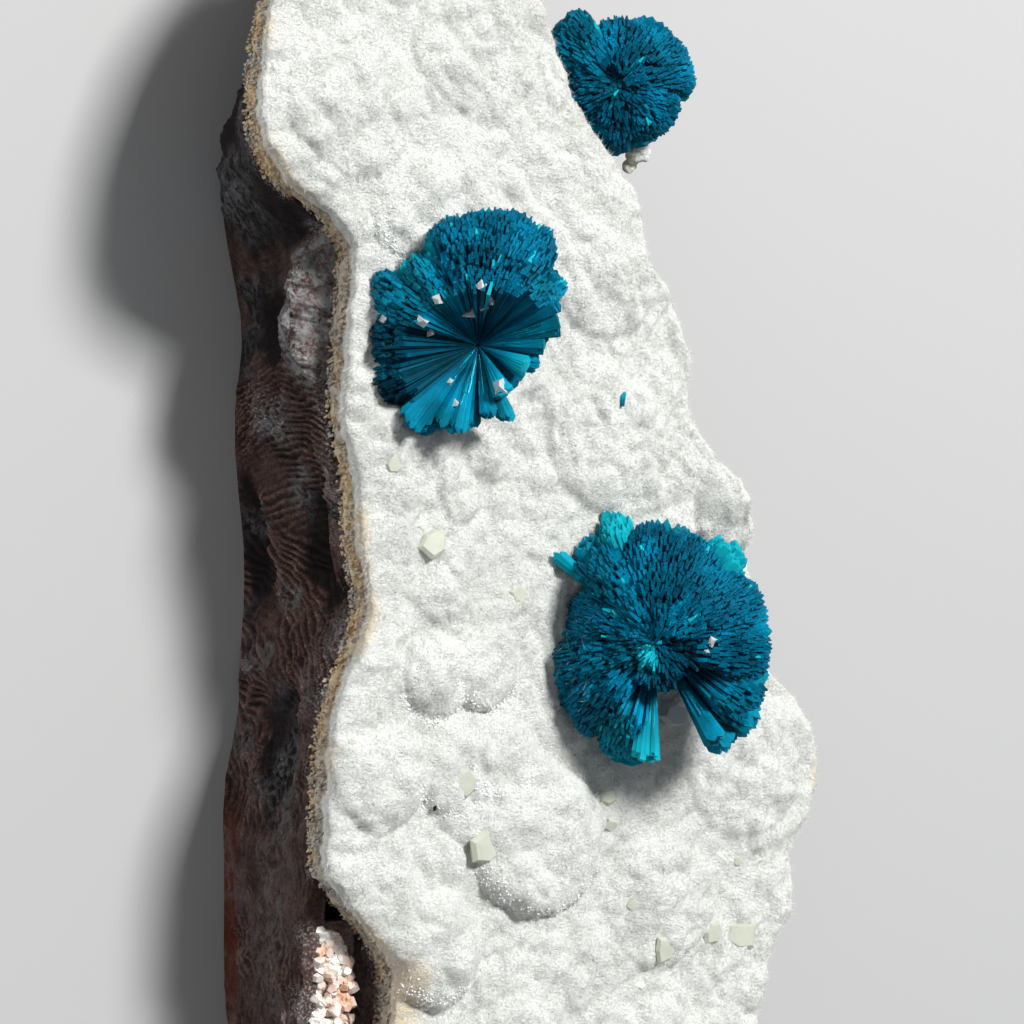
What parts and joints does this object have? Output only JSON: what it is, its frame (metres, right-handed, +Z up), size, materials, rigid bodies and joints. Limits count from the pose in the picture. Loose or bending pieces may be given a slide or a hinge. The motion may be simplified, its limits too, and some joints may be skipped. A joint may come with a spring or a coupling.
{
  "type": "cavansite mineral specimen",
  "caption": "Blue radiating cavansite rosettes on a lumpy white mordenite crust, over a tan rind and dark basalt that lies flat on its sawn back.",
  "frame": {"origin": "on the sawn back, under the middle of the slab's length", "axes": "+Z up out of the crust, +Y along the slab towards its narrow end, +X towards the small hanging rosette"},
  "size_m": [0.0403, 0.0805, 0.0238],
  "materials": {
    "basalt": "matt dark brown, broken in curved ridges",
    "tan_rind": "matt, grainy",
    "mordenite": "matt felt of fine white fibres",
    "cavansite": "glassy deep blue, brighter at thin tips",
    "heulandite": "glassy, faintly greenish",
    "hollow_heulandite": "small glassy pinkish crystals"
  },
  "bodies": {
    "root": {"basalt_matrix": "basalt", "tan_rind": "tan_rind", "mordenite_crust": "mordenite", "hollow_crystals": "hollow_heulandite", "cavansite_rosette_left": "cavansite", "cavansite_rosette_right": "cavansite", "cavansite_rosette_top": "cavansite", "cavansite_splinter": "cavansite", "heulandite_crystal_1": "heulandite", "heulandite_crystal_2": "heulandite", "heulandite_crystal_3": "heulandite", "heulandite_crystal_4": "heulandite", "heulandite_crystal_5": "heulandite", "heulandite_crystal_6": "heulandite", "heulandite_crystal_7": "heulandite", "heulandite_crystal_8": "heulandite", "heulandite_crystal_9": "heulandite", "heulandite_crystal_10": "heulandite"}
  },
  "joints": []
}
